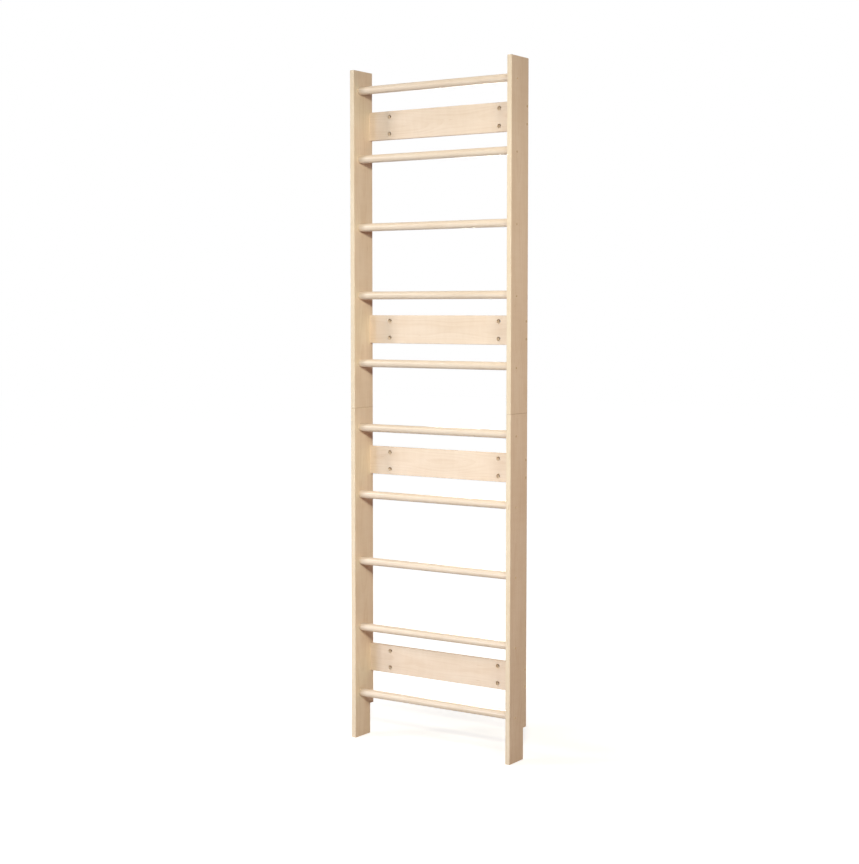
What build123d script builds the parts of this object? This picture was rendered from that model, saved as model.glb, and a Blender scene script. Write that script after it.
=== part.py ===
from build123d import *
import os

# Swedish wall bars in solid birch. Two ladder modules of one height stand on each other, each with two upright
# lengths, a row of rungs and two cross boards. The rear edges lie on the wall, and wall screws go through the boards.
# X runs along the rungs from the middle, Y towards the wall from mid depth, and Z up from the floor, in millimetres.

# Uprights
overall_width = 665
upright_depth = 110
upright_thickness = 18
module_height = 1190
upright_edge_radius = 2
upright_end_chamfer = 0.8

# Notch over the skirting board, at the lower rear corner of the lower lengths
notch_height = 110
notch_depth = 20

# Rungs, and the stopped sockets that their ends sit in
rungs_per_module = 5
rung_diameter = 28
rung_setback = 36
lowest_rung_height = 160
highest_rung_drop = 70
rung_end_chamfer = 1
socket_depth = 10
socket_radial_clearance = 0.15
socket_end_clearance = 0.3

# Countersunk wood screw in each rung end, set below the rung's axis so that the rung can't turn
rung_screw_head_diameter = 8
rung_screw_shank_diameter = 4
rung_screw_length = 45
rung_screw_tip_length = 5
rung_screw_drop = 5.5

# Cross boards, flush with the rear edges and midway between two rungs
board_height = 100
board_thickness = 18
board_edge_radius = 2

# Counterbored holes in the boards, in which the heads of the wall screws sink
wall_hole_diameter = 9
wall_hole_inset = 87
wall_hole_spacing = 60
wall_counterbore_diameter = 15
wall_counterbore_depth = 10
wall_counterbore_chamfer = 0.5

# Connector screw with a countersunk head and a thick neck, two in each board end
board_screw_head_diameter = 10
board_screw_neck_diameter = 7
board_screw_thread_diameter = 6
board_screw_length = 70
board_screw_tip_length = 4
board_screw_spacing = 60

# Round dowels across the butt joint between the two modules
dowel_diameter = 8
dowel_length = 50
dowel_spacing = 60
dowel_chamfer = 1

# Fits that the screws and dowels share
screw_radial_clearance = 0.1
screw_tip_clearance = 1
dowel_radial_clearance = 0.1
dowel_end_clearance = 0.5
countersink_angle = 90

# Places that follow from the sizes above
half_width = overall_width / 2
inner_half_width = half_width - upright_thickness
front_y = -upright_depth / 2
rear_y = upright_depth / 2
joint_z = module_height
rung_y = front_y + rung_setback
rung_end_x = inner_half_width + socket_depth - socket_end_clearance
rung_pitch = (module_height - lowest_rung_height - highest_rung_drop) / (rungs_per_module - 1)
rung_rises = [lowest_rung_height + step * rung_pitch for step in range(rungs_per_module)]
board_middle_y = rear_y - board_thickness / 2
board_front_y = rear_y - board_thickness
board_rises = [rung_rises[0] + rung_pitch / 2, rung_rises[-1] - rung_pitch / 2]
wall_hole_reach = 2 * (inner_half_width - wall_hole_inset)
sides = {"left": -1, "right": 1}
modules = {"lower": 0, "upper": module_height}


def screw_seat(side, y, z):
    """Plane on the outer face of one upright, with its Z axis out of the wood along the screw."""
    return Plane(origin=(side * half_width, y, z), x_dir=(0, side, 0), z_dir=(side, 0, 0))


def rung_screw_seats(side, base):
    """One seat for each rung of the module that starts at this height."""
    return [screw_seat(side, rung_y, base + rise - rung_screw_drop) for rise in rung_rises]


def board_screw_seats(side, board_z):
    """The two seats, one above the other, at one end of a cross board."""
    heights = (board_z - board_screw_spacing / 2, board_z + board_screw_spacing / 2)
    return [screw_seat(side, board_middle_y, height) for height in heights]


os.makedirs("parts", exist_ok=True)

# Upright lengths: a plank with rounded long edges, a socket for each rung end on its inner face,
# a countersunk hole for each screw on its outer face and dowel holes in the end that butts.
for side_name, side in sides.items():
    for module_name, base in modules.items():
        with BuildPart() as upright:
            with BuildSketch(Plane.YZ.offset(side * inner_half_width)):
                with Locations((0, base)):
                    Rectangle(upright_depth, module_height, align=(Align.CENTER, Align.MIN))
                if base == 0:
                    with Locations((rear_y, base)):
                        Rectangle(notch_depth, notch_height, align=(Align.MAX, Align.MIN), mode=Mode.SUBTRACT)
            extrude(amount=side * upright_thickness)
            fillet(upright.edges().filter_by(Axis.Z), radius=upright_edge_radius)
            end_faces = upright.faces().filter_by(Axis.Z).group_by(Axis.Z)
            chamfer((end_faces[0] + end_faces[-1]).edges(), length=upright_end_chamfer)

            with BuildSketch(Plane.YZ.offset(side * inner_half_width)):
                with Locations(*[(rung_y, base + rise) for rise in rung_rises]):
                    Circle(rung_diameter / 2 + socket_radial_clearance)
            extrude(amount=side * socket_depth, mode=Mode.SUBTRACT)

            with Locations(*rung_screw_seats(side, base)):
                CounterSinkHole(
                    radius=rung_screw_shank_diameter / 2 + screw_radial_clearance,
                    counter_sink_radius=rung_screw_head_diameter / 2 + screw_radial_clearance,
                    depth=upright_thickness,
                    counter_sink_angle=countersink_angle,
                )
            for board_rise in board_rises:
                with Locations(*board_screw_seats(side, base + board_rise)):
                    CounterSinkHole(
                        radius=board_screw_neck_diameter / 2 + screw_radial_clearance,
                        counter_sink_radius=board_screw_head_diameter / 2 + screw_radial_clearance,
                        depth=upright_thickness,
                        counter_sink_angle=countersink_angle,
                    )

            dowel_hole_half_length = dowel_length / 2 + dowel_end_clearance
            with BuildSketch(Plane.XY.offset(joint_z - dowel_hole_half_length)):
                with Locations((side * (inner_half_width + upright_thickness / 2), 0)):
                    with GridLocations(0, dowel_spacing, 1, 2):
                        Circle(dowel_diameter / 2 + dowel_radial_clearance)
            extrude(amount=2 * dowel_hole_half_length, mode=Mode.SUBTRACT)
        upright.part.label = f"{side_name}_upright_{module_name}"
        export_step(upright.part, f"parts/{upright.part.label}.step")

# Rungs: plain round bars with eased ends, each end bored for its screw.
rung_number = 0
for base in modules.values():
    for rise in rung_rises:
        rung_number += 1
        rung_z = base + rise
        with BuildPart() as rung:
            with BuildSketch(Plane.YZ.offset(-rung_end_x)):
                with Locations((rung_y, rung_z)):
                    Circle(rung_diameter / 2)
            extrude(amount=2 * rung_end_x)
            chamfer(rung.edges().filter_by(GeomType.CIRCLE), length=rung_end_chamfer)
            pilot_depth = rung_end_x - half_width + rung_screw_length + screw_tip_clearance
            for side in sides.values():
                with BuildSketch(Plane.YZ.offset(side * rung_end_x)):
                    with Locations((rung_y, rung_z - rung_screw_drop)):
                        Circle(rung_screw_shank_diameter / 2 + screw_radial_clearance)
                extrude(amount=-side * pilot_depth, mode=Mode.SUBTRACT)
        rung.part.label = f"rung_{rung_number:02d}"
        export_step(rung.part, f"parts/{rung.part.label}.step")

# Cross boards: planks with rounded long edges, counterbored for the wall screws and bored in the ends
# for the connector screws.
board_number = 0
board_places = []
for base in modules.values():
    for board_rise in board_rises:
        board_number += 1
        board_z = base + board_rise
        board_places.append((board_number, board_z))
        with BuildPart() as board:
            with BuildSketch(Plane.YZ.offset(-inner_half_width)):
                with Locations((board_middle_y, board_z)):
                    RectangleRounded(board_thickness, board_height, board_edge_radius)
            extrude(amount=2 * inner_half_width)
            front_face = Plane(origin=(0, board_front_y, board_z), x_dir=(1, 0, 0), z_dir=(0, -1, 0))
            with Locations(front_face):
                with GridLocations(wall_hole_reach, wall_hole_spacing, 2, 2):
                    CounterBoreHole(
                        radius=wall_hole_diameter / 2,
                        counter_bore_radius=wall_counterbore_diameter / 2,
                        counter_bore_depth=wall_counterbore_depth,
                        depth=board_thickness,
                    )
            hole_mouths = board.edges().filter_by(GeomType.CIRCLE).group_by(Axis.Y)[0]
            chamfer(hole_mouths, length=wall_counterbore_chamfer)
            pilot_depth = board_screw_length - upright_thickness + screw_tip_clearance
            for side in sides.values():
                with BuildSketch(Plane.YZ.offset(side * inner_half_width)):
                    with Locations((board_middle_y, board_z)):
                        with GridLocations(0, board_screw_spacing, 1, 2):
                            Circle(board_screw_thread_diameter / 2 + screw_radial_clearance)
                extrude(amount=-side * pilot_depth, mode=Mode.SUBTRACT)
        board.part.label = f"cross_board_{board_number}"
        export_step(board.part, f"parts/{board.part.label}.step")

# Rung screw: turned about Z, with its flat head at zero and its point downwards.
head_radius = rung_screw_head_diameter / 2
shank_radius = rung_screw_shank_diameter / 2
with BuildPart() as rung_screw:
    with BuildSketch(Plane.XZ):
        with BuildLine():
            Polyline(
                (0, 0),
                (head_radius, 0),
                (shank_radius, shank_radius - head_radius),
                (shank_radius, rung_screw_tip_length - rung_screw_length),
                (0, -rung_screw_length),
                close=True,
            )
        make_face()
    revolve(axis=Axis.Z)

for side_name, side in sides.items():
    for module_name, base in modules.items():
        with BuildPart() as rung_screws:
            with Locations(*rung_screw_seats(side, base)):
                add(rung_screw.part)
        rung_screws.part.label = f"{side_name}_{module_name}_rung_screws"
        export_step(rung_screws.part, f"parts/{rung_screws.part.label}.step")

# Board screw: the same way round, with a neck that fills the upright and a thinner thread in the board.
head_radius = board_screw_head_diameter / 2
neck_radius = board_screw_neck_diameter / 2
thread_radius = board_screw_thread_diameter / 2
with BuildPart() as board_screw:
    with BuildSketch(Plane.XZ):
        with BuildLine():
            Polyline(
                (0, 0),
                (head_radius, 0),
                (neck_radius, neck_radius - head_radius),
                (neck_radius, screw_radial_clearance - upright_thickness),
                (thread_radius, screw_radial_clearance - upright_thickness),
                (thread_radius, board_screw_tip_length - board_screw_length),
                (0, -board_screw_length),
                close=True,
            )
        make_face()
    revolve(axis=Axis.Z)

for board_number, board_z in board_places:
    with BuildPart() as board_screws:
        for side in sides.values():
            with Locations(*board_screw_seats(side, board_z)):
                add(board_screw.part)
    board_screws.part.label = f"cross_board_{board_number}_screws"
    export_step(board_screws.part, f"parts/{board_screws.part.label}.step")

# Joint dowels: half of each in the lower length and half in the upper one.
for side_name, side in sides.items():
    with BuildPart() as dowels:
        with BuildSketch(Plane.XY.offset(joint_z - dowel_length / 2)):
            with Locations((side * (inner_half_width + upright_thickness / 2), 0)):
                with GridLocations(0, dowel_spacing, 1, 2):
                    Circle(dowel_diameter / 2)
        extrude(amount=dowel_length)
        chamfer(dowels.edges().filter_by(GeomType.CIRCLE), length=dowel_chamfer)
    dowels.part.label = f"{side_name}_joint_dowels"
    export_step(dowels.part, f"parts/{dowels.part.label}.step")
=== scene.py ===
import bpy
import math
import random
from mathutils import Euler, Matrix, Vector


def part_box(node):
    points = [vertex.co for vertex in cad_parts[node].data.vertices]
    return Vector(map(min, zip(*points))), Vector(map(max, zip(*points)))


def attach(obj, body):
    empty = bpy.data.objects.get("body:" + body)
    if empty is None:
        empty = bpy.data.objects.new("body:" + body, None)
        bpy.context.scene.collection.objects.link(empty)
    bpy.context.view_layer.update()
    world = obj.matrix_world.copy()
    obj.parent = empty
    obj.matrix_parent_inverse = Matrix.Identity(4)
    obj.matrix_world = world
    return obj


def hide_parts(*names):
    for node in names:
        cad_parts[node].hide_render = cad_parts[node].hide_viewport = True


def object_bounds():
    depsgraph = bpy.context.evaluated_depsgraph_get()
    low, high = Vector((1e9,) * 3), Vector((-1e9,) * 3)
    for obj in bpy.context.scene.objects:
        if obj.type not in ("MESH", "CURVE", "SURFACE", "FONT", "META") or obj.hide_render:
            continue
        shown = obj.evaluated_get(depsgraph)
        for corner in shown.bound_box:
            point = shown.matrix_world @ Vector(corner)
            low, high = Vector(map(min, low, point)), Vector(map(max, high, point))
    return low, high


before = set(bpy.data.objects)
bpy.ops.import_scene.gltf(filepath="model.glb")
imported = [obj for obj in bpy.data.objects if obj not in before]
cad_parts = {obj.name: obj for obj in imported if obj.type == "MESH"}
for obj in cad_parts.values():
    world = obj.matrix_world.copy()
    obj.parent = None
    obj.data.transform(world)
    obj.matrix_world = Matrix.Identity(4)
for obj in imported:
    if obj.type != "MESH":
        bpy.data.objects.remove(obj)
cad_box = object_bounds()


# Uprights: two on each side, butted end to end at half height. They are planed planks of solid birch with
# upright grain, rounded along their edges, bored for the rungs, countersunk for the screws and oiled matt.
# The eased ends at the butt joint show as a fine dark line: oil-soaked end grain and painted groove shade.
MM = 0.001
upright_names = ["left_upright_lower", "left_upright_upper", "right_upright_lower", "right_upright_upper"]
grain_upright = (0, math.radians(90), 0)
birch_pale = (0.835, 0.690, 0.530)
birch_brown = (0.725, 0.560, 0.395)
upright_heart_distance = 95 * MM
first_upright_seed = 11
joint_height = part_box("left_upright_upper")[0].z
joint_line_width = 1.8 * MM
# Darker tint for the joint line: oil-soaked end grain, and painted shade in the groove.
joint_oil_and_shade_tint = (0.80, 0.77, 0.73, 1)


def add_node(tree, kind, sockets=None, **settings):
    """Puts a node in a tree. Its sockets, by name or number, get a value or the output of another node."""
    node = tree.nodes.new(kind)
    for setting, value in settings.items():
        setattr(node, setting, value)
    for socket, value in (sockets or {}).items():
        if isinstance(value, bpy.types.NodeSocket):
            tree.links.new(value, node.inputs[socket])
        else:
            node.inputs[socket].default_value = value
    return node


def number(tree, operation, *terms):
    """The outcome of one sum on numbers and sockets."""
    return add_node(tree, "ShaderNodeMath", dict(enumerate(terms)), operation=operation).outputs[0]


def vector(tree, operation, *terms):
    """The outcome of one sum on vectors and sockets."""
    return add_node(tree, "ShaderNodeVectorMath", dict(enumerate(terms)), operation=operation).outputs[0]


def length_of(tree, offset):
    """How long an offset is."""
    return add_node(tree, "ShaderNodeVectorMath", {0: offset}, operation="LENGTH").outputs["Value"]


def cloud(tree, place, along, across, detail=1.0):
    """Soft noise from 0 to 1, with so many cells to a metre along the grain and across it."""
    cells = vector(tree, "MULTIPLY", place, (along, across, across))
    noise = {"Vector": cells, "Scale": 1.0, "Detail": detail}
    return add_node(tree, "ShaderNodeTexNoise", noise).outputs[0]


def step(tree, value, low, high, low_out=0.0, high_out=1.0):
    """A smooth step as the value goes from low to high."""
    limits = {"Value": value, "From Min": low, "From Max": high, "To Min": low_out, "To Max": high_out}
    return add_node(tree, "ShaderNodeMapRange", limits, interpolation_type="SMOOTHSTEP").outputs[0]


def blend(tree, share, first, second, **settings):
    """Mixes two colours by a share. Sockets 0, 6 and 7 are a colour mix's share and its two colours."""
    tones = {0: share, 6: first, 7: second}
    return add_node(tree, "ShaderNodeMix", tones, data_type="RGBA", **settings).outputs[2]


def make_wood_figure():
    """Colour, roughness and relief of planed wood. The grain and the heart of the tree lie along X."""
    tree = bpy.data.node_groups.new("wood_figure", "ShaderNodeTree")
    inputs = {"Place": "Vector", "Facing": "Vector", "Pale": "Color", "Brown": "Color", "Polish": "Float"}
    for name, kind in inputs.items():
        tree.interface.new_socket(name, in_out="INPUT", socket_type=f"NodeSocket{kind}")
    for name, kind in {"Colour": "Color", "Roughness": "Float", "Relief": "Float"}.items():
        tree.interface.new_socket(name, in_out="OUTPUT", socket_type=f"NodeSocket{kind}")
    given = add_node(tree, "NodeGroupInput").outputs
    place = given["Place"]

    # The heart wanders along the trunk, which draws the rings out into long arches on the planed faces.
    wander_cells = (2.2, 7, 7)
    wander_reach = 34 * MM
    spread = vector(tree, "MULTIPLY", place, wander_cells)
    wander = add_node(tree, "ShaderNodeTexNoise", {"Vector": spread, "Scale": 1.0, "Detail": 1.5})
    shift = vector(tree, "SUBTRACT", wander.outputs["Color"], (0.5, 0.5, 0.5))
    bent = vector(tree, "MULTIPLY_ADD", shift, (0, wander_reach, wander_reach), place)
    radius = length_of(tree, vector(tree, "MULTIPLY", bent, (0, 1, 1)))

    # A ring darkens slowly over its summer and ends in a fine line. Some years are stronger than others.
    rings_per_metre = 260
    summer_start = 0.25
    winter_start = 0.93
    season = number(tree, "FRACT", number(tree, "MULTIPLY", radius, rings_per_metre))
    summer = step(tree, season, low=summer_start, high=winter_start)
    winter = step(tree, season, low=winter_start, high=1.0, low_out=1.0, high_out=0.0)
    years = cloud(tree, bent, along=4, across=90)
    strength = step(tree, years, low=0.3, high=0.7, low_out=0.25, high_out=1.0)
    ring = number(tree, "MULTIPLY", number(tree, "MULTIPLY", summer, winter), strength)

    # Fibres, pores, the short brown flecks that birch has, a soft blush and the shimmer of curly grain.
    fibre = cloud(tree, place, along=18, across=1100, detail=3)
    streaks = step(tree, fibre, low=0.25, high=0.75)
    pores = step(tree, cloud(tree, place, along=110, across=2300), low=0.64, high=0.72)
    flecks = step(tree, cloud(tree, place, along=26, across=210), low=0.735, high=0.79)
    blush = step(tree, cloud(tree, place, along=5, across=22, detail=2), low=0.3, high=0.7)
    curl = step(tree, cloud(tree, bent, along=60, across=14), low=0.3, high=0.7)
    along_grain = add_node(tree, "ShaderNodeSeparateXYZ", {0: given["Facing"]}).outputs["X"]
    end_grain = step(tree, number(tree, "ABSOLUTE", along_grain), low=0.6, high=0.95)

    # Each adds its share of the brown tone.
    brown_shares = {
        ring: 0.34,
        blush: 0.30,
        streaks: 0.26,
        curl: 0.12,
        pores: 0.35,
        flecks: 0.75,
        end_grain: 0.6,
    }
    share = 0.0
    for pattern, amount in brown_shares.items():
        share = number(tree, "MULTIPLY_ADD", pattern, amount, share)
    colour = blend(tree, share, given["Pale"], given["Brown"], clamp_factor=False)

    # Rings stand proud of the planed face and pores are sunk in it. End grain is duller than the rest.
    ring_rise = 0.25
    pore_sink = 0.6
    end_grain_dullness = 0.15
    relief = number(tree, "MULTIPLY_ADD", pores, -pore_sink, fibre)
    relief = number(tree, "MULTIPLY_ADD", ring, ring_rise, relief)
    roughness = step(tree, fibre, low=0.2, high=0.8, low_out=0.66, high_out=0.80)
    roughness = number(tree, "SUBTRACT", roughness, given["Polish"])
    roughness = number(tree, "MULTIPLY_ADD", end_grain, end_grain_dullness, roughness)
    add_node(tree, "NodeGroupOutput", {"Colour": colour, "Roughness": roughness, "Relief": relief})
    return tree


wood_figure = make_wood_figure()


def cut_wood(name, middle, grain, heart_distance, pale, brown, seed, polish=0.0):
    """Oiled wood for one piece: its own cut from the tree, with the grain along it. Polish adds gloss."""
    trunk_length = 30
    heart_aside = 25 * MM
    tone_spread = 0.015
    oil_gloss = 0.12
    groove_depth = 0.15 * MM
    chance = random.Random(seed)
    up_the_trunk = chance.uniform(0, trunk_length)
    aside = chance.uniform(-heart_aside, heart_aside)
    tone = chance.uniform(1 - tone_spread, 1 + tone_spread)
    heart = Vector((up_the_trunk, aside, heart_distance))
    turned_middle = Euler(grain).to_matrix() @ Vector(middle)

    material = bpy.data.materials.new(name)
    material.use_nodes = True
    tree = material.node_tree
    tree.nodes.clear()
    where = add_node(tree, "ShaderNodeTexCoord").outputs
    put = {"Vector": where["Object"], "Rotation": grain, "Location": heart - turned_middle}
    place = add_node(tree, "ShaderNodeMapping", put).outputs[0]
    turn = {"Vector": where["Normal"], "Rotation": grain}
    facing = add_node(tree, "ShaderNodeMapping", turn, vector_type="VECTOR").outputs[0]
    figure = add_node(tree, "ShaderNodeGroup", node_tree=wood_figure)
    tree.links.new(place, figure.inputs["Place"])
    tree.links.new(facing, figure.inputs["Facing"])
    figure.inputs["Pale"].default_value = (*[tone * channel for channel in pale], 1)
    figure.inputs["Brown"].default_value = (*[tone * channel for channel in brown], 1)
    figure.inputs["Polish"].default_value = polish
    relief = {"Strength": 0.3, "Distance": groove_depth, "Height": figure.outputs["Relief"]}
    grooves = add_node(tree, "ShaderNodeBump", relief).outputs[0]
    finish = {
        "Base Color": figure.outputs["Colour"],
        "Roughness": figure.outputs["Roughness"],
        "Specular IOR Level": oil_gloss + polish,
        "Normal": grooves,
    }
    oiled = add_node(tree, "ShaderNodeBsdfPrincipled", finish)
    add_node(tree, "ShaderNodeOutputMaterial", {"Surface": oiled.outputs[0]})
    return material


def finish_in_birch(node, grain, heart_distance, seed, pale=birch_pale, brown=birch_brown, polish=0.0):
    """Gives a CAD piece its own cut of birch."""
    low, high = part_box(node)
    middle = (low + high) / 2
    wood = cut_wood(f"birch_{node}", middle, grain, heart_distance, pale, brown, seed, polish)
    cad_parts[node].data.materials[0] = wood


def tint_wood(node, tint, mark):
    """Multiplies the colour of a piece's wood by a tint, where the mark for a place on it is 1."""
    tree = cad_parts[node].data.materials[0].node_tree
    oiled = next(shader for shader in tree.nodes if shader.type == "BSDF_PRINCIPLED")
    untinted = oiled.inputs["Base Color"].links[0].from_socket
    place = add_node(tree, "ShaderNodeTexCoord").outputs["Object"]
    tinted = blend(tree, mark(tree, place), untinted, tint, blend_type="MULTIPLY")
    tree.links.new(tinted, oiled.inputs["Base Color"])


def joint_line(tree, place):
    """Marks the two eased ends at the butt joint."""
    height = add_node(tree, "ShaderNodeSeparateXYZ", {0: place}).outputs["Z"]
    return number(tree, "COMPARE", height, joint_height, joint_line_width / 2)


for place_in_row, name in enumerate(upright_names):
    finish_in_birch(name, grain_upright, upright_heart_distance, first_upright_seed + place_in_row)
    # The joint line gets its darker tint: oil-soaked end grain, and painted shade in the groove.
    tint_wood(name, joint_oil_and_shade_tint, joint_line)


# Joint dowels: two beech dowels across each butt joint, which line up the upper upright on the lower one.
# They are milled with flutes that let the air out of the hole, and can't be seen once the uprights stand
# on each other.
dowel_diameter = 8 * MM
dowel_length = 50 * MM
dowel_chamfer = 1 * MM
dowel_spacing = 60 * MM
dowel_flutes = 24
dowel_flute_depth = 0.3 * MM
beech_pale = (0.70, 0.49, 0.33)
beech_brown = (0.56, 0.36, 0.22)
beech_heart_distance = 60 * MM
first_dowel_seed = 101
sides = {"left": -1, "right": 1}


def start_tree(name, sizes, counts, finish):
    """A geometry tree with named inputs: the seats, the sizes in metres, the counts and the finish."""
    tree = bpy.data.node_groups.new(name, "GeometryNodeTree")
    tree.interface.new_socket("Seats", in_out="INPUT", socket_type="NodeSocketGeometry")
    for size in sizes:
        tree.interface.new_socket(size, in_out="INPUT", socket_type="NodeSocketFloat")
    for count in counts:
        tree.interface.new_socket(count, in_out="INPUT", socket_type="NodeSocketInt")
    tree.interface.new_socket(finish, in_out="INPUT", socket_type="NodeSocketMaterial")
    tree.interface.new_socket("Pieces", in_out="OUTPUT", socket_type="NodeSocketGeometry")
    return tree


def end_tree(tree, pieces, finish):
    """Makes the pieces on the seats real, gives them their finish and hands them out of the tree."""
    made = add_node(tree, "GeometryNodeRealizeInstances", {"Geometry": pieces}).outputs[0]
    coat = {"Geometry": made, "Material": finish}
    finished = add_node(tree, "GeometryNodeSetMaterial", coat).outputs[0]
    add_node(tree, "NodeGroupOutput", {"Pieces": finished})


def half(tree, size):
    """Half of a size."""
    return number(tree, "MULTIPLY", size, 0.5)


def minus(tree, size):
    """The same size the other way."""
    return number(tree, "MULTIPLY", size, -1.0)


def point(tree, x=0.0, y=0.0, z=0.0):
    """A point put together from its three measures."""
    return add_node(tree, "ShaderNodeCombineXYZ", {"X": x, "Y": y, "Z": z}).outputs[0]


def pick(tree, index, values, data_type="FLOAT"):
    """The value that stands at this index in a short list."""
    node = add_node(tree, "GeometryNodeIndexSwitch", data_type=data_type)
    while len(node.index_switch_items) < len(values):
        node.index_switch_items.new()
    tree.links.new(index, node.inputs[0])
    for slot, value in enumerate(values, start=1):
        if isinstance(value, bpy.types.NodeSocket):
            tree.links.new(value, node.inputs[slot])
        else:
            node.inputs[slot].default_value = value
    return node.outputs[0]


def circle(tree, points, radius):
    """A circle about Z, drawn with so many points."""
    drawn = {"Resolution": points, "Radius": radius}
    return add_node(tree, "GeometryNodeCurvePrimitiveCircle", drawn).outputs[0]


def waved_circle(tree, points, radius, waves, depth):
    """A circle whose radius dips by this depth so many times on the way round."""
    place = add_node(tree, "GeometryNodeInputPosition").outputs[0]
    parts = add_node(tree, "ShaderNodeSeparateXYZ", {0: place}).outputs
    angle = number(tree, "ARCTAN2", parts["Y"], parts["X"])
    wave = number(tree, "COSINE", number(tree, "MULTIPLY", angle, waves))
    dip = number(tree, "MULTIPLY", number(tree, "MULTIPLY_ADD", wave, -0.5, 0.5), depth)
    pull = {0: vector(tree, "NORMALIZE", place), "Scale": minus(tree, dip)}
    inward = add_node(tree, "ShaderNodeVectorMath", pull, operation="SCALE").outputs[0]
    moved = {"Geometry": circle(tree, points, radius), "Offset": inward}
    return add_node(tree, "GeometryNodeSetPosition", moved).outputs[0]


def turned_shape(tree, heights, scales, profile, fill_caps):
    """A bar along Z, as if turned on a lathe: the profile, scaled by these amounts at these heights."""
    line = add_node(tree, "GeometryNodeCurvePrimitiveLine", {"End": (0, 0, -1)}).outputs[0]
    rings = add_node(tree, "GeometryNodeResampleCurve", {"Curve": line, "Count": len(heights)}).outputs[0]
    ring = add_node(tree, "GeometryNodeInputIndex").outputs[0]
    moved = {"Geometry": rings, "Position": point(tree, z=pick(tree, ring, heights))}
    spaced = add_node(tree, "GeometryNodeSetPosition", moved).outputs[0]
    swept = {
        "Curve": spaced,
        "Profile Curve": profile,
        "Scale": pick(tree, ring, scales),
        "Fill Caps": fill_caps,
    }
    return add_node(tree, "GeometryNodeCurveToMesh", swept).outputs[0]


def crisp(tree, geometry, crease):
    """Welds the seams and shades the shape smooth, apart from edges sharper than the crease angle."""
    weld_distance = 0.002 * MM
    weld = {"Geometry": geometry, "Distance": weld_distance}
    welded = add_node(tree, "GeometryNodeMergeByDistance", weld).outputs[0]
    faces = {"Geometry": welded, "Shade Smooth": True}
    smooth = add_node(tree, "GeometryNodeSetShadeSmooth", faces).outputs[0]
    angle = add_node(tree, "GeometryNodeInputMeshEdgeAngle").outputs[0]
    sharp = number(tree, "GREATER_THAN", angle, crease)
    edges = {"Geometry": smooth, "Selection": sharp, "Shade Smooth": False}
    return add_node(tree, "GeometryNodeSetShadeSmooth", edges, domain="EDGE").outputs[0]


def make_dowel_tree():
    """A fluted dowel with chamfered ends, stood upright on every seat."""
    points_per_flute = 6
    crease = math.radians(35)
    sizes = ["Diameter", "Length", "Chamfer", "Flute Depth"]
    tree = start_tree("fluted_dowel", sizes, ["Flutes"], "Wood")
    given = add_node(tree, "NodeGroupInput").outputs
    radius = half(tree, given["Diameter"])
    top = half(tree, given["Length"])
    shoulder = number(tree, "SUBTRACT", top, given["Chamfer"])
    heights = [top, shoulder, minus(tree, shoulder), minus(tree, top)]
    eased = number(tree, "SUBTRACT", 1.0, number(tree, "DIVIDE", given["Chamfer"], radius))
    points = number(tree, "MULTIPLY", given["Flutes"], points_per_flute)
    profile = waved_circle(tree, points, radius, given["Flutes"], given["Flute Depth"])
    bar = turned_shape(tree, heights, [eased, 1.0, 1.0, eased], profile, fill_caps=True)
    set_out = {"Points": given["Seats"], "Instance": crisp(tree, bar, crease)}
    stood = add_node(tree, "GeometryNodeInstanceOnPoints", set_out).outputs[0]
    end_tree(tree, stood, given["Wood"])
    return tree


def set_on_seats(name, seats, tree, inputs, facing=()):
    """Runs a tree on a row of seats, which may face different ways, and keeps the outcome as a mesh."""
    points = bpy.data.meshes.new(name)
    points.from_pydata(seats, [], [])
    ways = points.attributes.new("facing", "FLOAT_VECTOR", "POINT")
    for way, direction in zip(ways.data, facing):
        way.vector = direction
    piece = bpy.data.objects.new(name, points)
    bpy.context.scene.collection.objects.link(piece)
    modifier = piece.modifiers.new(tree.name, "NODES")
    modifier.node_group = tree
    for socket in tree.interface.items_tree:
        if socket.name in inputs:
            modifier[socket.identifier] = inputs[socket.name]
    evaluated = piece.evaluated_get(bpy.context.evaluated_depsgraph_get())
    mesh = bpy.data.meshes.new_from_object(evaluated)
    finish = mesh.materials[-1]
    mesh.materials.clear()
    mesh.materials.append(finish)
    mesh.polygons.foreach_set("material_index", [0] * len(mesh.polygons))
    piece.modifiers.clear()
    piece.data = mesh
    return piece


fluted_dowel = make_dowel_tree()
for place_in_row, side in enumerate(sides):
    node = f"{side}_joint_dowels"
    low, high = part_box(node)
    middle = (low + high) / 2
    seed = first_dowel_seed + place_in_row
    beech = cut_wood(
        f"beech_{node}", middle, grain_upright, beech_heart_distance, beech_pale, beech_brown, seed
    )
    dowel_seats = [middle + Vector((0, way * dowel_spacing / 2, 0)) for way in (-1, 1)]
    dowel_sizes = {
        "Diameter": dowel_diameter,
        "Length": dowel_length,
        "Chamfer": dowel_chamfer,
        "Flutes": dowel_flutes,
        "Flute Depth": dowel_flute_depth,
        "Wood": beech,
    }
    dowels = set_on_seats(f"{side}_fluted_dowels", dowel_seats, fluted_dowel, dowel_sizes)
    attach(dowels, "root")
    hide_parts(node)


# Rungs: ten plain round birch bars with the grain along them, turned and sanded smooth for the hands, with
# more sheen than the planks. Their ends sit in stopped sockets in the uprights.
rungs_per_module = 5
rung_count = 2 * rungs_per_module
rung_pale = (0.788, 0.641, 0.506)
rung_brown = (0.689, 0.528, 0.387)
rung_polish = 0.38
rung_heart_distance = 30 * MM
rung_turn = math.radians(37)
rung_seed = 40
for rung in range(1, rung_count + 1):
    grain_turned = (rung_turn * rung, 0, 0)
    finish_in_birch(
        f"rung_{rung:02d}",
        grain_turned,
        rung_heart_distance,
        seed=rung_seed + rung,
        pale=rung_pale,
        brown=rung_brown,
        polish=rung_polish,
    )


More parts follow.
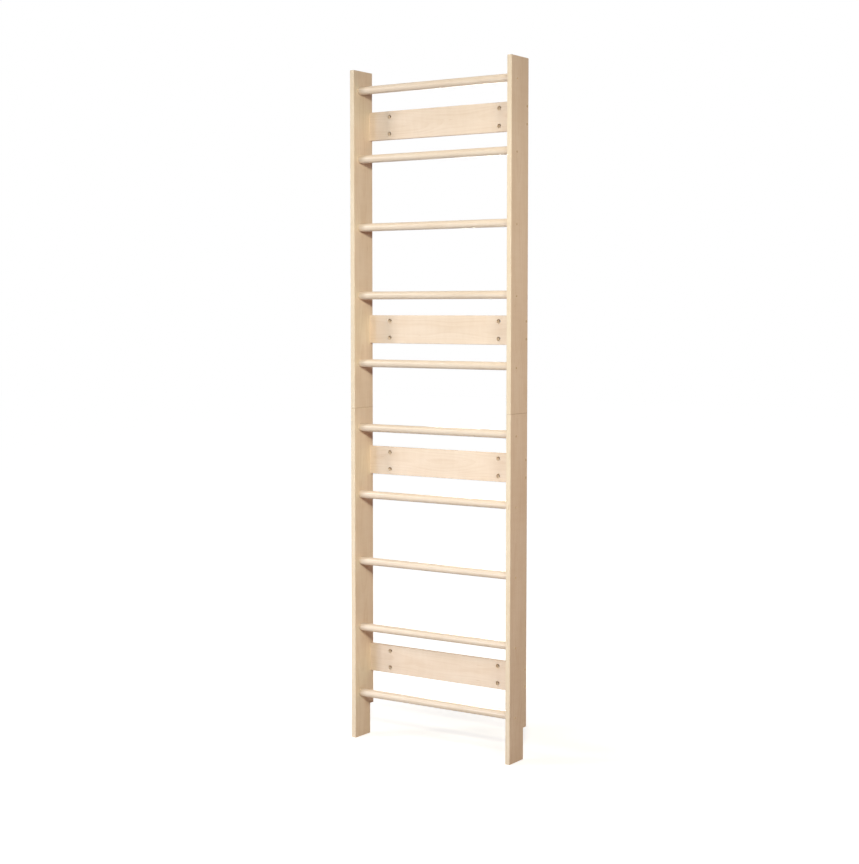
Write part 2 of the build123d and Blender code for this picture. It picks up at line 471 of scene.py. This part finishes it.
# Rung screws: one countersunk wood screw through the upright into each rung end, a little below the rung's
# axis so that the rung can't turn. Rolled steel with a yellow zinc finish and a six-lobe recess.
rung_screw_drop = 5.5 * MM
rung_screw_seed_step = 7
zinc_straw = (0.62, 0.45, 0.27, 1)
zinc_shade = (0.52, 0.37, 0.20, 1)
first_rungs = {"lower": 1, "upper": 1 + rungs_per_module}


def make_screw_tree():
    """A countersunk screw with its flat head on the seat and its thread in the wood, on every seat."""
    sizes = ["Head Diameter", "Neck Diameter", "Neck Length", "Core Diameter", "Thread Diameter"]
    sizes += ["Thread Pitch", "Length", "Tip Length", "Recess Diameter", "Recess Depth", "Lobe Depth"]
    tree = start_tree("countersunk_screw", sizes, ["Recess Points", "Seed"], "Finish")
    given = add_node(tree, "NodeGroupInput").outputs
    head_radius = half(tree, given["Head Diameter"])
    neck_radius = half(tree, given["Neck Diameter"])
    core_radius = half(tree, given["Core Diameter"])
    crest_radius = half(tree, given["Thread Diameter"])

    # Head cone, neck, shoulder, core and point, all turned about Z with the flat of the head at zero.
    points_round = 32
    cone_depth = number(tree, "SUBTRACT", head_radius, neck_radius)
    shoulder_depth = number(tree, "SUBTRACT", neck_radius, core_radius)
    thread_top = number(tree, "ADD", given["Neck Length"], shoulder_depth)
    thread_end = number(tree, "SUBTRACT", given["Length"], given["Tip Length"])
    depths = [0.0, cone_depth, given["Neck Length"], thread_top, thread_end, given["Length"]]
    heights = [minus(tree, depth) for depth in depths]
    radii = [head_radius, neck_radius, neck_radius, core_radius, core_radius, 0.0]
    blank = turned_shape(tree, heights, radii, circle(tree, points_round, 1.0), fill_caps=False)

    # Flat of the head round the recess, and the recess pressed into it.
    recess_lobes = 6
    recess_taper = 0.8
    rim = circle(tree, points_round, head_radius)
    recess_radius = half(tree, given["Recess Diameter"])
    recess = waved_circle(tree, given["Recess Points"], recess_radius, recess_lobes, given["Lobe Depth"])
    outlines = add_node(tree, "GeometryNodeJoinGeometry")
    for outline in (rim, recess):
        tree.links.new(outline, outlines.inputs[0])
    between = {"Curve": outlines.outputs[0]}
    flat = add_node(tree, "GeometryNodeFillCurve", between, mode="TRIANGLES").outputs[0]
    cover = add_node(tree, "GeometryNodeFillCurve", {"Curve": recess}, mode="NGONS").outputs[0]
    sunk = {"Mesh": cover, "Offset": point(tree, z=-1.0), "Offset Scale": given["Recess Depth"]}
    pressed = add_node(tree, "GeometryNodeExtrudeMesh", sunk).outputs
    narrowed = {"Geometry": pressed["Mesh"], "Selection": pressed["Top"], "Scale": recess_taper}
    tapered = add_node(tree, "GeometryNodeScaleElements", narrowed).outputs[0]

    # Thread: a right-hand ridge that grows out of the core and dies away again before the point.
    points_per_turn = 18
    fade_share = 0.06
    fade_scale = 0.05
    root_share = 0.27
    root_sink = 0.1 * MM
    thread_height = number(tree, "SUBTRACT", thread_end, thread_top)
    coil = {
        "Resolution": points_per_turn,
        "Rotations": number(tree, "DIVIDE", thread_height, given["Thread Pitch"]),
        "Start Radius": core_radius,
        "End Radius": core_radius,
        "Height": thread_height,
        "Reverse": True,
    }
    spiral = add_node(tree, "GeometryNodeCurveSpiral", coil).outputs[0]
    upright = add_node(tree, "GeometryNodeSetCurveNormal", {"Curve": spiral}, mode="Z_UP").outputs[0]
    down = {"Geometry": upright, "Translation": point(tree, z=minus(tree, thread_end))}
    lowered = add_node(tree, "GeometryNodeTransform", down).outputs[0]
    along = add_node(tree, "GeometryNodeSplineParameter").outputs["Factor"]
    run_in = step(tree, along, low=0.0, high=fade_share, low_out=fade_scale, high_out=1.0)
    run_out = step(tree, along, low=1 - fade_share, high=1.0, low_out=1.0, high_out=fade_scale)
    ridge_height = number(tree, "SUBTRACT", crest_radius, core_radius)
    root_half = number(tree, "MULTIPLY", given["Thread Pitch"], root_share)
    ridge_corners = [
        point(tree, x=ridge_height),
        point(tree, x=-root_sink, y=root_half),
        point(tree, x=-root_sink, y=minus(tree, root_half)),
    ]
    corner = add_node(tree, "GeometryNodeInputIndex").outputs[0]
    shaped = {
        "Geometry": circle(tree, len(ridge_corners), 1.0),
        "Position": pick(tree, corner, ridge_corners, "VECTOR"),
    }
    ridge = add_node(tree, "GeometryNodeSetPosition", shaped).outputs[0]
    rolled = {
        "Curve": lowered,
        "Profile Curve": ridge,
        "Scale": number(tree, "MULTIPLY", run_in, run_out),
        "Fill Caps": True,
    }
    thread = add_node(tree, "GeometryNodeCurveToMesh", rolled).outputs[0]

    # The whole screw, set on every seat and driven home to a turn of its own.
    crease = math.radians(30)
    screw = add_node(tree, "GeometryNodeJoinGeometry")
    for part in (thread, tapered, flat, blank):
        tree.links.new(part, screw.inputs[0])
    named = {"Name": "facing"}
    way = add_node(tree, "GeometryNodeInputNamedAttribute", named, data_type="FLOAT_VECTOR").outputs[0]
    aimed = add_node(tree, "FunctionNodeAlignRotationToVector", {"Vector": way}, axis="Z").outputs[0]
    smooth_screw = crisp(tree, screw.outputs[0], crease)
    set_out = {"Points": given["Seats"], "Instance": smooth_screw, "Rotation": aimed}
    placed = add_node(tree, "GeometryNodeInstanceOnPoints", set_out).outputs[0]
    full_turn = 2 * math.pi
    number_limits = {2: 0.0, 3: full_turn, "Seed": given["Seed"]}
    spin = add_node(tree, "FunctionNodeRandomValue", number_limits).outputs[1]
    driven = {"Instances": placed, "Rotation": point(tree, z=spin)}
    tightened = add_node(tree, "GeometryNodeRotateInstances", driven).outputs[0]
    end_tree(tree, tightened, given["Finish"])
    return tree


def make_yellow_zinc():
    """Zinc plating passivated to a dull straw yellow, a little uneven as it comes out of the barrel."""
    material = bpy.data.materials.new("yellow_zinc")
    material.use_nodes = True
    tree = material.node_tree
    tree.nodes.clear()
    place = add_node(tree, "ShaderNodeTexCoord").outputs["Object"]
    patches = step(tree, cloud(tree, place, along=420, across=420, detail=2), low=0.3, high=0.7)
    grit = cloud(tree, place, along=5200, across=5200, detail=2)
    colour = blend(tree, patches, zinc_straw, zinc_shade)
    roughness = step(tree, grit, low=0.25, high=0.75, low_out=0.30, high_out=0.46)
    relief = {"Strength": 0.15, "Distance": 0.02 * MM, "Height": grit}
    bump = add_node(tree, "ShaderNodeBump", relief).outputs[0]
    finish = {"Base Color": colour, "Metallic": 1.0, "Roughness": roughness, "Normal": bump}
    metal = add_node(tree, "ShaderNodeBsdfPrincipled", finish).outputs[0]
    add_node(tree, "ShaderNodeOutputMaterial", {"Surface": metal})
    return material


countersunk_screw = make_screw_tree()
yellow_zinc = make_yellow_zinc()
rung_screw_sizes = {
    "Head Diameter": 8 * MM,
    "Neck Diameter": 3 * MM,
    "Neck Length": 16 * MM,
    "Core Diameter": 2.6 * MM,
    "Thread Diameter": 4 * MM,
    "Thread Pitch": 2 * MM,
    "Length": 45 * MM,
    "Tip Length": 5 * MM,
    "Recess Diameter": 3.9 * MM,
    "Recess Depth": 1.8 * MM,
    "Lobe Depth": 0.55 * MM,
    "Recess Points": 48,
    "Finish": yellow_zinc,
}
for side, way in sides.items():
    outer_face = cad_box[1].x * way
    for module, first_rung in first_rungs.items():
        seats = []
        for rung in range(first_rung, first_rung + rungs_per_module):
            low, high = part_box(f"rung_{rung:02d}")
            axis = (low + high) / 2
            seats.append((outer_face, axis.y, axis.z - rung_screw_drop))
        facing = [(way, 0, 0)] * rungs_per_module
        rung_screw_sizes["Seed"] = rung_screw_seed_step * first_rung + way
        name = f"{side}_{module}_wood_screws"
        screws = set_on_seats(name, seats, countersunk_screw, rung_screw_sizes, facing)
        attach(screws, "root")
        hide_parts(f"{side}_{module}_rung_screws")


# Cross boards: four birch planks between the uprights at their rear edges, with the grain lying across.
# Each has four counterbored holes for the wall screws and is held by two screws through each upright. The
# inside of the holes is tinted darker and greyer than the oiled wood, as painted shade.
board_count = 4
grain_across = (math.radians(90), 0, 0)
board_pale = (0.846, 0.694, 0.568)
board_brown = (0.735, 0.563, 0.424)
board_heart_distance = 85 * MM
board_seed = 70
wall_hole_inset = 87 * MM
wall_hole_spacing = 60 * MM
wall_bore_radius = 7.5 * MM
bore_mark_margin = 0.1 * MM
# Painted shade inside the wall holes: a darker, greyer tint.
painted_bore_shade_tint = (0.91, 0.955, 0.98, 1)


def wall_holes(low, high):
    """Marks the inside of the holes, for their painted shade, in the board between these two corners."""
    middle = (low + high) / 2
    first_hole = (high.x - middle.x - wall_hole_inset, 0, wall_hole_spacing / 2)

    def mark(tree, place):
        """Folds the four holes onto one, because they lie evenly about the middle, and marks that one."""
        from_middle = vector(tree, "ABSOLUTE", vector(tree, "SUBTRACT", place, middle))
        from_hole = vector(tree, "SUBTRACT", from_middle, first_hole)
        from_axis = length_of(tree, vector(tree, "MULTIPLY", from_hole, (1, 0, 1)))
        return number(tree, "LESS_THAN", from_axis, wall_bore_radius + bore_mark_margin)

    return mark


for board in range(1, board_count + 1):
    name = f"cross_board_{board}"
    finish_in_birch(name, grain_across, board_heart_distance, board_seed + board, board_pale, board_brown)
    # The inside of the wall holes gets painted shade.
    tint_wood(name, painted_bore_shade_tint, wall_holes(*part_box(name)))


# Board screws: two connector screws through the upright into each board end, with a thick neck that fills
# the hole in the upright, a coarse thread in the board and a hexagon socket. They are of steel with the
# same yellow zinc as the rung screws.
board_screw_spacing = 60 * MM
board_screw_seed = 90
board_screw_sizes = {
    "Head Diameter": 10 * MM,
    "Neck Diameter": 7 * MM,
    "Neck Length": 16.6 * MM,
    "Core Diameter": 4.4 * MM,
    "Thread Diameter": 6 * MM,
    "Thread Pitch": 3 * MM,
    "Length": 70 * MM,
    "Tip Length": 4 * MM,
    "Recess Diameter": 4.6 * MM,
    "Recess Depth": 3 * MM,
    "Lobe Depth": 0.0,
    "Recess Points": 6,
    "Finish": yellow_zinc,
}
for board in range(1, board_count + 1):
    low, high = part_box(f"cross_board_{board}")
    middle = (low + high) / 2
    seats = []
    facing = []
    for way in sides.values():
        for rise in (-board_screw_spacing / 2, board_screw_spacing / 2):
            seats.append((cad_box[1].x * way, middle.y, middle.z + rise))
            facing.append((way, 0, 0))
    board_screw_sizes["Seed"] = board_screw_seed + board
    name = f"board_{board}_connector_screws"
    screws = set_on_seats(name, seats, countersunk_screw, board_screw_sizes, facing)
    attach(screws, "root")
    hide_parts(f"cross_board_{board}_screws")


# Floor: a plain pale studio floor, just under the feet. It looks white to the camera, and keeps a soft
# shadow close to the feet, where it glows less.
floor_size = 40.0
floor_drop = 0.2 * MM
floor_paint = (0.58, 0.56, 0.52, 1)
foot_glow = 0.70
foot_reach = 0.35
white_from = 1.3
reach = floor_size / 2
corners = [(-reach, -reach), (reach, -reach), (reach, reach), (-reach, reach)]
floor_mesh = bpy.data.meshes.new("floor")
floor_mesh.from_pydata([(x, y, cad_box[0].z - floor_drop) for x, y in corners], [], [(0, 1, 2, 3)])
floor = bpy.data.objects.new("floor", floor_mesh)
bpy.context.scene.collection.objects.link(floor)


def seen_directly(tree):
    """1 for what the camera sees, straight on or in a shine, and 0 for what lights the object."""
    path = add_node(tree, "ShaderNodeLightPath").outputs
    return number(tree, "MAXIMUM", path["Is Camera Ray"], path["Is Glossy Ray"])


pale_floor = bpy.data.materials.new("pale_floor")
pale_floor.use_nodes = True
tree = pale_floor.node_tree
tree.nodes.clear()
away = length_of(tree, add_node(tree, "ShaderNodeTexCoord").outputs["Object"])
whiteness = step(tree, away, low=foot_reach, high=white_from, low_out=foot_glow, high_out=1.0)
glow = number(tree, "MULTIPLY", whiteness, seen_directly(tree))
matt = add_node(tree, "ShaderNodeBsdfDiffuse", {"Color": floor_paint})
white = add_node(tree, "ShaderNodeEmission", {"Color": (1, 1, 1, 1), "Strength": glow})
both = add_node(tree, "ShaderNodeAddShader", {0: matt.outputs[0], 1: white.outputs[0]})
add_node(tree, "ShaderNodeOutputMaterial", {"Surface": both.outputs[0]})
floor_mesh.materials.append(pale_floor)


# Background: a white studio wall to the eye, and in the shine of the wood and the metal. It gives no other
# light, which comes from the lamps alone.
studio = bpy.data.worlds.new("studio")
studio.use_nodes = True
tree = studio.node_tree
tree.nodes.clear()
white_wall = {"Color": (1, 1, 1, 1), "Strength": seen_directly(tree)}
backdrop = add_node(tree, "ShaderNodeBackground", white_wall)
add_node(tree, "ShaderNodeOutputWorld", {"Surface": backdrop.outputs[0]})
bpy.context.scene.world = studio


# Lamps: a key lamp above the camera, soft boxes at the left, high and low, one high on the right and one
# overhead, a low lamp on the feet, a faint warm glow from the far right, and a warm lamp at the left rear
# for the back.
lamp_circle = 3.6
object_middle = (0, 0, 1.2)
object_foot = (0, 0, 0.15)
floor_middle = (0, 0, 0)


def aim(lamp, place, target):
    """Puts a lamp in the scene, turned towards a target and out of the camera's sight."""
    holder = bpy.data.objects.new(lamp.name, lamp)
    holder.location = place
    holder.rotation_euler = (Vector(target) - Vector(place)).to_track_quat("-Z", "Y").to_euler()
    holder.visible_camera = False
    bpy.context.scene.collection.objects.link(holder)


def round_the_object(turn, height, distance=lamp_circle):
    """A place on a circle round the object, so many degrees to the right of straight in front."""
    return (distance * math.sin(math.radians(turn)), -distance * math.cos(math.radians(turn)), height)


def soft_box(name, watts, colour, width, height, place, target):
    """A rectangular area lamp."""
    lamp = bpy.data.lights.new(name, "AREA")
    lamp.energy = watts
    lamp.color = colour
    lamp.shape = "RECTANGLE"
    lamp.size = width
    lamp.size_y = height
    aim(lamp, place, target)


def spot_lamp(name, watts, colour, radius, beam, place, target):
    """A round lamp with a soft-edged beam that is so many degrees wide."""
    lamp = bpy.data.lights.new(name, "SPOT")
    lamp.energy = watts
    lamp.color = colour
    lamp.shadow_soft_size = radius
    lamp.spot_size = math.radians(beam)
    lamp.spot_blend = 1.0
    aim(lamp, place, target)


spot_lamp(
    "key_lamp",
    watts=675,
    colour=(0.972, 0.99, 0.855),
    radius=0.16,
    beam=40,
    place=(2.75, -4.17, 3.07),
    target=object_middle,
)
soft_box(
    "left_front_box",
    watts=29,
    colour=(0.49, 0.66, 1.0),
    width=0.6,
    height=1.0,
    place=round_the_object(turn=-22, height=0.5),
    target=object_middle,
)
soft_box(
    "left_high_box",
    watts=64,
    colour=(1.0, 1.0, 1.0),
    width=0.9,
    height=1.0,
    place=round_the_object(turn=-52, height=2.8),
    target=object_middle,
)
soft_box(
    "right_high_box",
    watts=40.5,
    colour=(0.963, 1.0, 0.94),
    width=0.9,
    height=1.0,
    place=round_the_object(turn=52, height=2.4),
    target=object_middle,
)
soft_box(
    "overhead_box",
    watts=21,
    colour=(1.0, 0.98, 0.92),
    width=2.4,
    height=2.4,
    place=(0.2, -0.8, 4.5),
    target=floor_middle,
)
soft_box(
    "warm_glow",
    watts=10.8,
    colour=(1.0, 0.04, 0.01),
    width=1.2,
    height=2.0,
    place=round_the_object(turn=110, height=1.3),
    target=object_middle,
)
spot_lamp(
    "low_lamp",
    watts=135,
    colour=(1.0, 0.95, 0.95),
    radius=0.3,
    beam=34,
    place=round_the_object(turn=-30, height=0.4, distance=4.2),
    target=object_foot,
)
spot_lamp(
    "rear_lamp",
    watts=680,
    colour=(1.0, 0.93, 0.82),
    radius=0.4,
    beam=40,
    place=round_the_object(turn=210, height=1.6, distance=5.5),
    target=object_middle,
)


# Camera: at about eye height in front of the object's right side, with a long lens, tipped down a little.
# Colours are shown as they are, with no film look.
picture_height = 864
focal_pixels = 1658.02
camera_place = (3.1929, -4.7935, 1.5383)
camera_turn = math.radians(33.926)
camera_tip = math.radians(3.729)
camera_shift = -0.016
camera = bpy.data.cameras.new("camera")
camera.sensor_width = 36
camera.lens = focal_pixels / picture_height * camera.sensor_width
camera.shift_y = camera_shift
camera_holder = bpy.data.objects.new("camera", camera)
camera_holder.location = camera_place
camera_holder.rotation_euler = (math.radians(90) - camera_tip, 0, camera_turn)
bpy.context.scene.collection.objects.link(camera_holder)
bpy.context.scene.camera = camera_holder
bpy.context.scene.view_settings.view_transform = "Standard"
